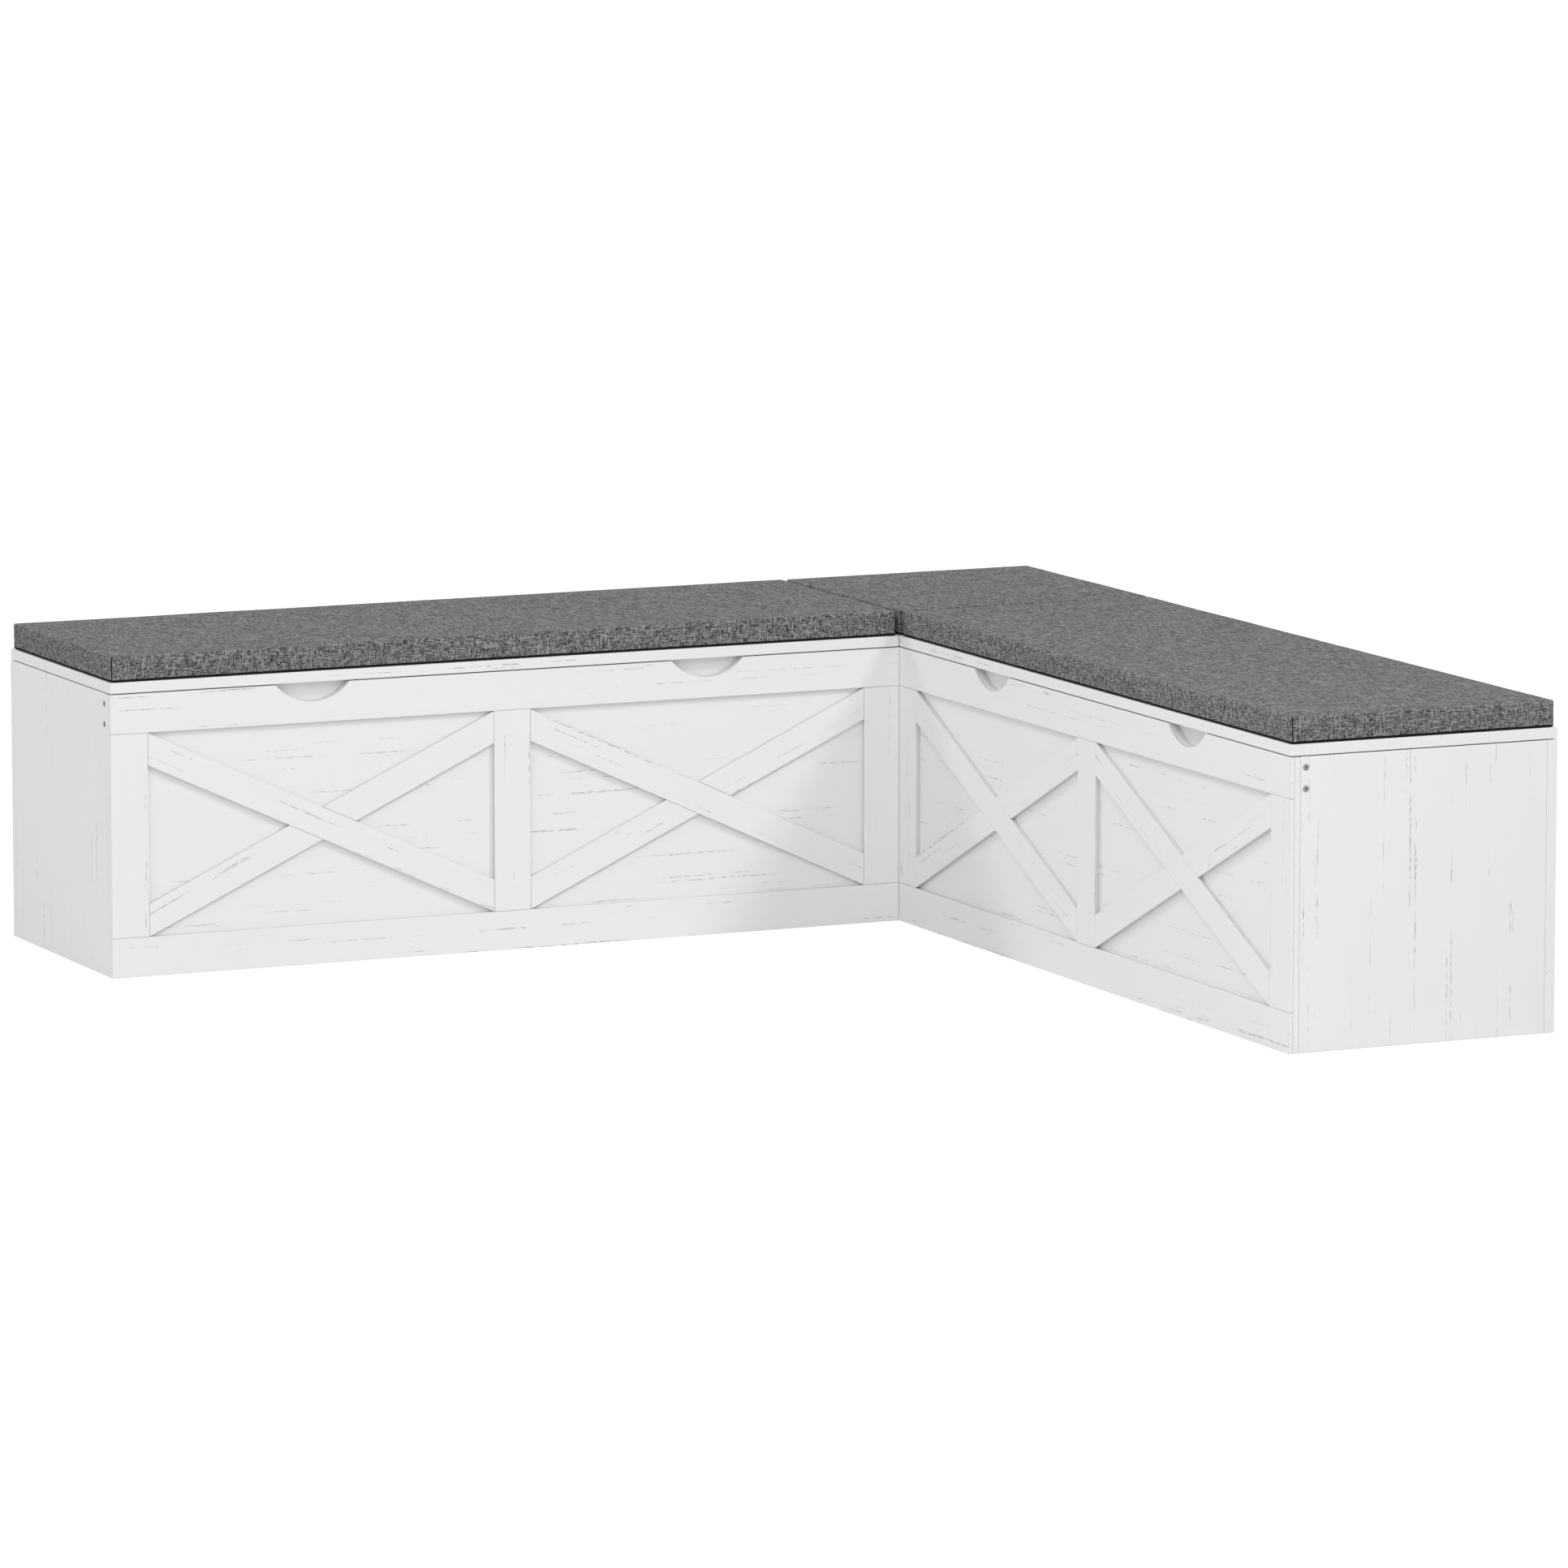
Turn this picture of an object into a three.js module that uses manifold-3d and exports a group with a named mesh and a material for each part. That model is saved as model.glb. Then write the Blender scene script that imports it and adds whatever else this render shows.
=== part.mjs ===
// Corner storage bench: two long benches that meet at a square corner box.
// Each of the three modules has a lid hinged at its back edge, with a seat cushion on it.
// Millimetres, +Z up. The floor is z = 0 and the origin lies under the middle of the overall box.
import * as THREE from "three";
import { mergeVertices } from "three/addons/utils/BufferGeometryUtils.js";
import Module from "manifold-3d";

const wasm = await Module();
wasm.setup();

// Overall sizes of the modules
const benchLength = 1200;
const moduleDepth = 400;
const carcassHeight = 395;
const moduleGap = 0.4;

// Boards and the clearances between them
const boardThickness = 15;
const boardGap = 0.3;
const boardEase = 0.6;
const overrun = 2;
const weldDistance = 0.001;

// Lid, and the dark line under it
const lidThickness = 15;
const lidGap = 1.5;
const lidSideGap = 0.5;

// Applied frame and cross braces on the front
const stripThickness = 6;
const stripSeam = 0.3;
const stripEase = 0.4;
const railHeight = 55;
const stileWidth = 55;
const braceCut = 45.5;

// Finger notches in the top edge of the front
const notchPlaceShares = [0.25, 0.75];
const notchWidth = 110;
const notchDepth = 25.5;
const notchSteps = 16;

// Batten behind the top of the front, and the screws that hold its ends
const battenHeight = 57;
const screwPlaceShares = [0.25, 0.75];
const screwLength = 50;
const screwHeadRadius = 4.5;
const screwHeadRim = 0.8;
const screwHeadHeight = 3;
const screwShankRadius = 2.5;
const screwTipRadius = 1.2;
const screwTipHeight = 3;
const screwClearance = 0.3;
const socketRadius = 2.6;
const socketDepth = 2;
const screwSides = 10;
const socketSides = 6;

// Bottom board, raised off the floor
const bottomRise = 20;

// Continuous hinges, let into the top of the back board and the underside of the lid
const hingeEndInset = 20;
const leafWidth = 12.5;
const leafThickness = 1.5;
const leafClearance = 0.3;
const knuckleRadius = 2.75;
const knucklePitch = 50;
const knuckleGap = 0.3;
const knuckleSides = 12;
const pinRadius = 1.25;
const pinClearance = 0.3;
const pinSides = 8;

// Seat cushions, box shaped with a slight crown
const cushionInset = 3;
const cushionClearance = 0.3;
const cushionSideHeight = 35.7;
const cushionCrown = 1.5;
const cushionBottomRadius = 3;
const cushionTopRadius = 1.6;
const cushionCornerRadius = 4.5;
const cushionDrawIn = 0.8;
const cushionArcSteps = 3;
const cushionSideSteps = 8;
const cushionCrownShares = [0.97, 0.87, 0.68, 0.4];

// Places worked out from the sizes above
const innerFront = boardThickness + boardGap;
const innerBack = moduleDepth - boardThickness - boardGap;
const innerDepth = innerBack - innerFront;
const panelThickness = boardThickness - stripThickness - boardGap;
const battenBottom = carcassHeight - battenHeight;
const dividerBottom = bottomRise + boardThickness + boardGap;
const lidBottom = carcassHeight + lidGap;
const cushionBottom = lidBottom + lidThickness + cushionClearance;
const notchRadius = ((notchWidth / 2) ** 2 + notchDepth ** 2) / (2 * notchDepth);
const hingeSetback = knuckleRadius + knuckleGap;
const hingeY = moduleDepth + hingeSetback;
const hingeZ = carcassHeight + lidGap / 2;
const pinBoreRadius = pinRadius + pinClearance;
const coordinates = 3;
const quarterTurn = Math.PI / 2;
const halfTurn = Math.PI;

// Finishes
const laminate = { color: 0xe8e8e6, roughness: 0.5, metalness: 0 };
const linen = { color: 0x747576, roughness: 0.95, metalness: 0 };
const hingeSteel = { color: 0xb4b6b8, roughness: 0.32, metalness: 0.9 };
const screwSteel = { color: 0x8f9193, roughness: 0.4, metalness: 0.8 };

// A named piece of the given finish, placed in its module.
function addPiece(group, name, geometry, finish, x, y, z) {
  const mesh = new THREE.Mesh(geometry, new THREE.MeshStandardMaterial(finish));
  mesh.name = name;
  mesh.position.set(x, y, z);
  group.add(mesh);
  return mesh;
}

// The bare triangles of a geometry, without normals or texture places.
function bareTriangles(geometry) {
  const bare = geometry.index ? geometry.toNonIndexed() : geometry.clone();
  bare.deleteAttribute("normal");
  bare.deleteAttribute("uv");
  return bare;
}

// A closed geometry, moved by a matrix, as a solid for booleans.
function toSolid(geometry, matrix = new THREE.Matrix4()) {
  const welded = mergeVertices(bareTriangles(geometry).applyMatrix4(matrix), weldDistance);
  const vertProperties = new Float32Array(welded.attributes.position.array);
  const triVerts = new Uint32Array(welded.index.array);
  return new wasm.Manifold(new wasm.Mesh({ numProp: coordinates, vertProperties, triVerts }));
}

// The result of a boolean as a geometry.
function toGeometry(solid) {
  const { vertProperties, triVerts, numProp } = solid.getMesh();
  const indexed = new THREE.BufferGeometry();
  indexed.setAttribute("position", new THREE.BufferAttribute(vertProperties, numProp));
  indexed.setIndex(new THREE.BufferAttribute(triVerts, 1));
  const geometry = indexed.toNonIndexed();
  geometry.computeVertexNormals();
  return geometry;
}

// Cuts tools, given in the frame of the module, out of a placed piece.
function cut(piece, tools) {
  piece.updateMatrix();
  const toPiece = piece.matrix.clone().invert();
  let solid = toSolid(piece.geometry);
  for (const tool of tools) {
    solid = solid.subtract(toSolid(tool, toPiece));
  }
  piece.geometry = toGeometry(solid);
}

// A closed outline from its corner points.
function polygon(points) {
  return new THREE.Shape(points.map(([a, b]) => new THREE.Vector2(a, b)));
}

// A rectangle from the corner at zero, with its four corners eased.
function easedRectangle(width, height, ease) {
  return polygon([
    [ease, 0],
    [width - ease, 0],
    [width, ease],
    [width, height - ease],
    [width - ease, height],
    [ease, height],
    [0, height - ease],
    [0, ease],
  ]);
}

// A board whose outline lies in X and Y, its thickness going up, with eased edges.
function flatBoard(shape, thickness, ease) {
  const geometry = new THREE.ExtrudeGeometry(shape, {
    depth: thickness - 2 * ease,
    bevelEnabled: true,
    bevelThickness: ease,
    bevelSize: ease,
    bevelOffset: -ease,
    bevelSegments: 1,
    curveSegments: notchSteps,
  });
  return geometry.translate(0, 0, ease);
}

// A board whose outline stands in X and Z, its thickness going back along Y.
function frontBoard(shape, thickness, ease) {
  return flatBoard(shape, thickness, ease).rotateX(quarterTurn).translate(0, thickness, 0);
}

// A board whose outline stands in Y and Z, its thickness going along X.
function endBoard(shape, thickness, ease) {
  return flatBoard(shape, thickness, ease).rotateX(quarterTurn).rotateZ(quarterTurn);
}

// A plain block between two opposite corners.
function block(low, high) {
  const size = high.map((value, axis) => value - low[axis]);
  const middle = high.map((value, axis) => (value + low[axis]) / 2);
  return new THREE.BoxGeometry(...size).translate(...middle);
}

// A turned piece along +X, from steps of [distance along the axis, radius].
function turned(steps, sides) {
  const profile = steps.map(([along, radius]) => new THREE.Vector2(radius, along));
  const first = new THREE.Vector2(0, profile[0].y);
  const last = new THREE.Vector2(0, profile.at(-1).y);
  return new THREE.LatheGeometry([first, ...profile, last], sides).rotateZ(-quarterTurn);
}

// The outline of the front, with the finger notches let into its top edge.
function notchedOutline(length, height, ease) {
  const halfAngle = Math.asin(notchWidth / 2 / notchRadius);
  const shape = new THREE.Shape();
  shape.moveTo(ease, 0);
  shape.lineTo(length - ease, 0);
  shape.lineTo(length, ease);
  shape.lineTo(length, height - ease);
  shape.lineTo(length - ease, height);
  for (const share of notchPlaceShares.toReversed()) {
    const middle = length * share;
    const arcHeight = height + notchRadius - notchDepth;
    const arcStart = halfAngle - quarterTurn;
    const arcEnd = -halfAngle - quarterTurn;
    shape.lineTo(middle + notchWidth / 2, height);
    shape.absarc(middle, arcHeight, notchRadius, arcStart, arcEnd, true);
  }
  shape.lineTo(ease, height);
  shape.lineTo(0, height - ease);
  shape.lineTo(0, ease);
  return shape;
}

// The front of a bench: a panel with rails, stiles and two crossed braces applied to it.
function addFront(group, side, ends) {
  const panelShape = notchedOutline(benchLength, carcassHeight, boardEase);
  const panel = frontBoard(panelShape, panelThickness, boardEase);
  const panelY = stripThickness + boardGap;
  addPiece(group, `${side}_front_panel`, panel, laminate, 0, panelY, 0);

  const topShape = notchedOutline(benchLength, railHeight, stripEase);
  const topRail = frontBoard(topShape, stripThickness, stripEase);
  const topRailZ = carcassHeight - railHeight;
  addPiece(group, `${side}_top_rail`, topRail, laminate, 0, 0, topRailZ);

  const bottomShape = easedRectangle(benchLength, railHeight, stripEase);
  const bottomRail = frontBoard(bottomShape, stripThickness, stripEase);
  addPiece(group, `${side}_bottom_rail`, bottomRail, laminate, 0, 0, 0);

  const stileBottom = railHeight + stripSeam;
  const stileHeight = carcassHeight - 2 * stileBottom;
  const stileShape = easedRectangle(stileWidth, stileHeight, stripEase);
  [ends[0], "centre", ends[1]].forEach((place, index) => {
    const stile = frontBoard(stileShape, stripThickness, stripEase);
    const x = (index * (benchLength - stileWidth)) / 2;
    addPiece(group, `${side}_${place}_stile`, stile, laminate, x, 0, stileBottom);
  });

  const openingWidth = (benchLength - 3 * stileWidth) / 2 - 2 * stripSeam;
  const openings = [0, 1].map((index) => {
    const stilesBefore = index + 1;
    return stilesBefore * stileWidth + index * (openingWidth + 2 * stripSeam) + stripSeam;
  });
  openings.forEach((x, index) => {
    const place = `${side}_${ends[index]}`;
    const long = longBrace(openingWidth, stileHeight);
    const short = shortBrace(openingWidth, stileHeight);
    addPiece(group, `${place}_long_brace`, long, laminate, x, 0, stileBottom);
    addPiece(group, `${place}_lower_short_brace`, short, laminate, x, 0, stileBottom);
    const upperX = x + openingWidth;
    const upperZ = stileBottom + stileHeight;
    const upperName = `${place}_upper_short_brace`;
    const upper = addPiece(group, upperName, short.clone(), laminate, upperX, 0, upperZ);
    upper.rotation.y = halfTurn;
  });
}

// The long brace, from the top left to the bottom right of an opening.
function longBrace(width, height) {
  const shape = polygon([
    [0, height],
    [0, height - braceCut],
    [width, 0],
    [width, braceCut],
  ]);
  return frontBoard(shape, stripThickness, stripEase);
}

// A short brace on the other diagonal: the lower one, which butts against the long brace.
function shortBrace(width, height) {
  const slope = (height - braceCut) / width;
  const seamDrop = stripSeam * Math.hypot(1, slope);
  const lowerEnd = (height - braceCut - seamDrop) / (2 * slope);
  const upperEnd = (height - 2 * braceCut - seamDrop) / (2 * slope);
  const shape = polygon([
    [0, 0],
    [lowerEnd, slope * lowerEnd],
    [upperEnd, slope * upperEnd + braceCut],
    [0, braceCut],
  ]);
  return frontBoard(shape, stripThickness, stripEase);
}

// The boards that every module shares: two ends, a back and a bottom.
function addCarcass(group, prefix, length, endNames) {
  const endShape = easedRectangle(innerDepth, carcassHeight, boardEase);
  const ends = endNames.map((name, index) => {
    const geometry = endBoard(endShape, boardThickness, boardEase);
    const x = index * (length - boardThickness);
    return addPiece(group, `${prefix}_${name}`, geometry, laminate, x, innerFront, 0);
  });

  const backShape = easedRectangle(length, carcassHeight, boardEase);
  const backGeometry = frontBoard(backShape, boardThickness, boardEase);
  const backY = moduleDepth - boardThickness;
  const back = addPiece(group, `${prefix}_back_panel`, backGeometry, laminate, 0, backY, 0);

  const bottomShape = easedRectangle(length - 2 * innerFront, innerDepth, boardEase);
  const bottom = flatBoard(bottomShape, boardThickness, boardEase);
  const bottomName = `${prefix}_bottom_panel`;
  addPiece(group, bottomName, bottom, laminate, innerFront, innerFront, bottomRise);
  return { ends, back };
}

// The divider in the middle of a bench, notched at its top front corner for the batten.
function addDivider(group, side) {
  const height = carcassHeight - dividerBottom;
  const notchY = boardThickness + boardGap;
  const notchZ = battenBottom - boardGap - dividerBottom;
  const shape = polygon([
    [0, 0],
    [innerDepth, 0],
    [innerDepth, height],
    [notchY, height],
    [notchY, notchZ],
    [0, notchZ],
  ]);
  const divider = endBoard(shape, boardThickness, boardEase);
  const x = (benchLength - boardThickness) / 2;
  addPiece(group, `${side}_divider`, divider, laminate, x, innerFront, dividerBottom);
}

// The batten behind the notches, held by two screws through the outer end panel.
function addBatten(group, side, outerEnd) {
  const shape = easedRectangle(benchLength - 2 * innerFront, battenHeight, boardEase);
  const geometry = frontBoard(shape, boardThickness, boardEase);
  const batten = addPiece(group, `${side}_batten`, geometry, laminate, innerFront, innerFront, battenBottom);

  const atRight = outerEnd.position.x > 0;
  const x = atRight ? benchLength : 0;
  const y = innerFront + boardThickness / 2;
  screwPlaceShares.forEach((share, index) => {
    const name = `${side}_${["lower", "upper"][index]}_batten_screw`;
    const z = battenBottom + battenHeight * share;
    const screw = addPiece(group, name, battenScrew(), screwSteel, x, y, z);
    screw.rotation.z = atRight ? halfTurn : 0;
    screw.updateMatrix();
    const hole = screwHole().applyMatrix4(screw.matrix);
    cut(batten, [hole]);
    cut(outerEnd, [hole]);
  });
}

// A countersunk screw along +X with a hex socket in its head, its head face at zero.
function battenScrew() {
  const body = turned(
    [
      [0, screwHeadRadius],
      [screwHeadRim, screwHeadRadius],
      [screwHeadHeight, screwShankRadius],
      [screwLength - screwTipHeight, screwShankRadius],
      [screwLength, screwTipRadius],
    ],
    screwSides,
  );
  const socket = turned(
    [
      [-overrun, socketRadius],
      [socketDepth, socketRadius],
    ],
    socketSides,
  );
  return toGeometry(toSolid(body).subtract(toSolid(socket)));
}

// The hole that a batten screw sits in.
function screwHole() {
  const headHole = screwHeadRadius + screwClearance;
  const shankHole = screwShankRadius + screwClearance;
  return turned(
    [
      [-overrun, headHole],
      [screwHeadRim, headHole],
      [screwHeadHeight, shankHole],
      [screwLength + screwClearance, shankHole],
    ],
    screwSides,
  );
}

// The lid on its continuous hinge, whose leaves are let into the lid and the back panel.
function addLid(group, prefix, length, back) {
  const shape = easedRectangle(length - 2 * lidSideGap, moduleDepth, boardEase);
  const geometry = flatBoard(shape, lidThickness, boardEase);
  const lid = addPiece(group, `${prefix}_lid`, geometry, laminate, lidSideGap, 0, lidBottom);

  const hingeLength = length - 2 * hingeEndInset;
  const pocketStart = hingeEndInset - leafClearance;
  const pocketEnd = length - pocketStart;
  const pocketFront = moduleDepth - leafWidth - leafClearance;
  const pocketDepth = leafThickness + leafClearance;
  const pocket = (low, high) =>
    block([pocketStart, pocketFront, low], [pocketEnd, moduleDepth + overrun, high]);
  cut(back, [pocket(carcassHeight - pocketDepth, carcassHeight + overrun)]);
  cut(lid, [pocket(lidBottom - overrun, lidBottom + pocketDepth)]);

  const place = [hingeEndInset, hingeY, hingeZ];
  const baseLeaf = hingeLeaf(hingeLength, -1);
  const lidLeaf = hingeLeaf(hingeLength, 1);
  addPiece(group, `${prefix}_hinge_base_leaf`, baseLeaf, hingeSteel, ...place);
  addPiece(group, `${prefix}_hinge_lid_leaf`, lidLeaf, hingeSteel, ...place);
  addPiece(group, `${prefix}_hinge_pin`, hingePin(hingeLength), hingeSteel, ...place);
}

// One leaf with every second knuckle about the pin's axis along X.
// Upward is 1 for the lid's leaf and -1 for the one on the back panel, which has the end knuckles.
function hingeLeaf(length, upward) {
  const knuckleCount = 2 * Math.floor(length / (2 * knucklePitch)) + 1;
  const knuckleLength = (length - (knuckleCount - 1) * knuckleGap) / knuckleCount;
  const innerFace = (upward * lidGap) / 2;
  const outerFace = innerFace + upward * leafThickness;
  const low = Math.min(innerFace, outerFace);
  const high = Math.max(innerFace, outerFace);
  const plateFront = -hingeSetback - leafWidth;
  let leaf = toSolid(block([0, plateFront, low], [length, -hingeSetback, high]));
  for (let index = upward > 0 ? 1 : 0; index < knuckleCount; index += 2) {
    const start = index * (knuckleLength + knuckleGap);
    const end = start + knuckleLength;
    const knuckle = turned(
      [
        [start, knuckleRadius],
        [end, knuckleRadius],
      ],
      knuckleSides,
    );
    const root = block([start, -hingeSetback - leafThickness, low], [end, 0, high]);
    leaf = leaf.add(toSolid(knuckle)).add(toSolid(root));
  }
  const bore = turned(
    [
      [-overrun, pinBoreRadius],
      [length + overrun, pinBoreRadius],
    ],
    pinSides,
  );
  return toGeometry(leaf.subtract(toSolid(bore)));
}

// The hinge pin, as long as the row of knuckles, with rounded-off ends.
function hingePin(length) {
  const nose = pinRadius / 2;
  return turned(
    [
      [0, nose],
      [nose, pinRadius],
      [length - nose, pinRadius],
      [length, nose],
    ],
    pinSides,
  );
}

// One ring of the cushion: a rounded rectangle about the middle, its sides drawn in.
function cushionRing(length, width, inset) {
  const halfSizes = [length / 2 - inset, width / 2 - inset];
  const corners = [
    [1, 1],
    [-1, 1],
    [-1, -1],
    [1, -1],
  ];
  const arcPoint = (corner, step) => {
    const angle = (corner + step / cushionArcSteps) * quarterTurn;
    const [xSign, ySign] = corners[corner % corners.length];
    return [
      xSign * (halfSizes[0] - cushionCornerRadius) + cushionCornerRadius * Math.cos(angle),
      ySign * (halfSizes[1] - cushionCornerRadius) + cushionCornerRadius * Math.sin(angle),
    ];
  };
  const points = [];
  corners.forEach((_, corner) => {
    for (let step = 0; step <= cushionArcSteps; step += 1) {
      points.push(arcPoint(corner, step));
    }
    const from = points.at(-1);
    const to = arcPoint(corner + 1, 0);
    const inwardAngle = (corner - 1) * quarterTurn;
    for (let step = 1; step < cushionSideSteps; step += 1) {
      const share = step / cushionSideSteps;
      const drawn = cushionDrawIn * (1 - (2 * share - 1) ** 2);
      points.push([
        from[0] + (to[0] - from[0]) * share + drawn * Math.cos(inwardAngle),
        from[1] + (to[1] - from[1]) * share + drawn * Math.sin(inwardAngle),
      ]);
    }
  });
  return points;
}

// A cushion as a stack of rings, from its rounded bottom edge to its crowned top.
function cushionBody(length, width) {
  const levels = [];
  for (let step = 0; step <= cushionArcSteps; step += 1) {
    const angle = (step / cushionArcSteps) * quarterTurn;
    const inset = cushionBottomRadius * (1 - Math.sin(angle));
    levels.push({ inset, height: cushionBottomRadius * (1 - Math.cos(angle)), share: 1 });
  }
  for (let step = 0; step <= cushionArcSteps; step += 1) {
    const angle = (step / cushionArcSteps) * quarterTurn;
    const inset = cushionTopRadius * (1 - Math.cos(angle));
    const height = cushionSideHeight - cushionTopRadius * (1 - Math.sin(angle));
    levels.push({ inset, height, share: 1 });
  }
  for (const share of cushionCrownShares) {
    const height = cushionSideHeight + cushionCrown * (1 - share ** 2);
    levels.push({ inset: cushionTopRadius, height, share });
  }

  const positions = [];
  for (const { inset, height, share } of levels) {
    for (const [x, y] of cushionRing(length, width, inset)) {
      positions.push(x * share, y * share, height);
    }
  }
  const bottomMiddle = positions.length / coordinates;
  positions.push(0, 0, 0);
  const topMiddle = positions.length / coordinates;
  positions.push(0, 0, cushionSideHeight + cushionCrown);

  const ringCount = bottomMiddle / levels.length;
  const lastRing = (levels.length - 1) * ringCount;
  const faces = [];
  for (let index = 0; index < ringCount; index += 1) {
    const next = (index + 1) % ringCount;
    faces.push(bottomMiddle, next, index);
    for (let ring = 0; ring < lastRing; ring += ringCount) {
      const above = ring + ringCount;
      faces.push(ring + index, ring + next, above + next);
      faces.push(ring + index, above + next, above + index);
    }
    faces.push(topMiddle, lastRing + index, lastRing + next);
  }
  const geometry = new THREE.BufferGeometry();
  geometry.setAttribute("position", new THREE.Float32BufferAttribute(positions, coordinates));
  geometry.setIndex(faces);
  geometry.computeVertexNormals();
  return geometry;
}

// The cushion of a module, centred on its lid.
function addCushion(group, prefix, length) {
  const body = cushionBody(length - 2 * cushionInset, moduleDepth - 2 * cushionInset);
  const name = `${prefix}_cushion`;
  addPiece(group, name, body, linen, length / 2, moduleDepth / 2, cushionBottom);
}

// A long bench, with its front on y = 0. The ends are named from left to right.
function makeBench(side, ends) {
  const bench = new THREE.Group();
  addFront(bench, side, ends);
  const endNames = ends.map((end) => `${end}_end_panel`);
  const carcass = addCarcass(bench, side, benchLength, endNames);
  addDivider(bench, side);
  addBatten(bench, side, carcass.ends[ends.indexOf("outer")]);
  addLid(bench, side, benchLength, carcass.back);
  addCushion(bench, side, benchLength);
  return bench;
}

// The square corner box, with its hidden front on y = 0.
function makeCorner() {
  const corner = new THREE.Group();
  const carcass = addCarcass(corner, "corner", moduleDepth, ["left_panel", "right_panel"]);
  const frontShape = easedRectangle(moduleDepth, carcassHeight, boardEase);
  const front = frontBoard(frontShape, boardThickness, boardEase);
  addPiece(corner, "corner_front_panel", front, laminate, 0, 0, 0);
  addLid(corner, "corner", moduleDepth, carcass.back);
  addCushion(corner, "corner", moduleDepth);
  return corner;
}

// The corner box stands at zero, the left bench runs off to -X and the right one to -Y.
const leftBench = makeBench("left", ["outer", "inner"]);
leftBench.position.x = -benchLength - moduleGap;
const rightBench = makeBench("right", ["inner", "outer"]);
rightBench.rotation.z = -quarterTurn;
rightBench.position.y = -moduleGap;

const cornerBench = new THREE.Group();
cornerBench.add(leftBench, rightBench, makeCorner());

// The overall box runs from the free ends of the benches to the backs of the hinges.
const boxMiddle = (hingeY + knuckleRadius - benchLength - moduleGap) / 2;
cornerBench.position.set(-boxMiddle, -boxMiddle, 0);

const part = new THREE.Group();
part.name = "corner_storage_bench";
part.add(cornerBench);

export default part;
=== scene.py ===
"""Looks of the corner storage bench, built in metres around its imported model."""

import math

import bpy
import numpy as np
from mathutils import Matrix, Vector, noise


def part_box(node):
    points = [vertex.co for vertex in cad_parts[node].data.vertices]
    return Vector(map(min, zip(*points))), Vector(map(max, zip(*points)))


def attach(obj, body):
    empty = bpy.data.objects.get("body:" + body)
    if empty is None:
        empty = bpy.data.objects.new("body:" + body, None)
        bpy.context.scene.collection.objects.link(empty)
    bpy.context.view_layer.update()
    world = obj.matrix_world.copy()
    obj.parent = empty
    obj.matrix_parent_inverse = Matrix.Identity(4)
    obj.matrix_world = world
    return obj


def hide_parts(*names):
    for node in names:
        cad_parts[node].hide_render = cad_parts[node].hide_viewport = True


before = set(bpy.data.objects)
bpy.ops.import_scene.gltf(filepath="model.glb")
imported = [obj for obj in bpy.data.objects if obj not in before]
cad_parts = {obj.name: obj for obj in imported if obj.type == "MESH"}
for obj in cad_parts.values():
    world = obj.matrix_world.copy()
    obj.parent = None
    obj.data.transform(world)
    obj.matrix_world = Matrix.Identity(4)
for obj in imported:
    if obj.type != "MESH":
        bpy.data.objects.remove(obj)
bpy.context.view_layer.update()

MM = 0.001
X = Vector((1, 0, 0))
Y = Vector((0, 1, 0))
Z = Vector((0, 0, 1))

# Camera: the photograph's view, found from the corners of the bench
CAMERA_PLACE = (-5.2179, -11.47, 2.1514)
CAMERA_YAW = 0.429394
CAMERA_PITCH = -0.147743
CAMERA_LENS = 212.963
CAMERA_SENSOR = 36

# Light levels, as shares of the level at which a colour renders as it is written
SKY_LEVEL = 0.464
RIGHT_LIGHT_LEVEL = 0.268
RIGHT_LIGHT_TOWARDS = (0.62, -0.75, 1)
LEFT_LIGHT_LEVEL = 0.217
LEFT_LIGHT_TOWARDS = (-0.62, 0.87, 1)
KEY_ANGLE = 0.2
FRONT_LIGHT_LEVEL = 0.272
FRONT_LIGHT_TOWARDS = (-0.62, -0.68, 0.39)
FRONT_ANGLE = 1.2
NEAR_LIGHT_PLACE = (-0.403, -1.403, 1.6)
NEAR_LIGHT_WATTS = 22.3
NEAR_LIGHT_RADIUS = 0.5
FLOOR_REACH = 40
FLOOR_DROP = 0.2 * MM
FLOOR_BOUNCE = 0.72
FLOOR_GLOW = 0.86
FLOOR_SHADE = 0.24

# Laminate
LAMINATE_WHITE = (0.84, 0.84, 0.838, 1)
LAMINATE_TINT = (0.835, 0.835, 0.833, 1)
# Painted shade: a grey tone painted on the edges of the front boards, standing in for the shade on them
EDGE_PAINTED_SHADE = (0.64, 0.64, 0.638, 1)
FLECK_GREY = (0.46, 0.46, 0.461, 1)
FLECK_DASH = (10 * MM, 1.1 * MM)
FLECK_DASH_SPAN = (0.46, 0.56)
FLECK_ROW = (420 * MM, 3 * MM)
FLECK_ROW_SPAN = (0.683, 0.745)
FLECK_PATCH = (60 * MM, 14 * MM)
FLECK_PATCH_SPAN = (0.46, 0.58)
GRAIN_WAVE_CELL = (120 * MM, 60 * MM)
GRAIN_WAVE = 3 * MM
TONE_CELL = (600 * MM, 30 * MM)
TONE_SPAN = (0.35, 0.65)
EDGE_SHADE_TURN_SPAN = (0.9, 0.5)
OPEN_SIDE_SPAN = (0.95, 0.8)
BRACE_CUT = 45.5 * MM
FIBRE_WIDTH = 0.9 * MM
FIBRE_RUN = 70 * MM
FIBRE_RELIEF = 0.05 * MM

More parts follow.
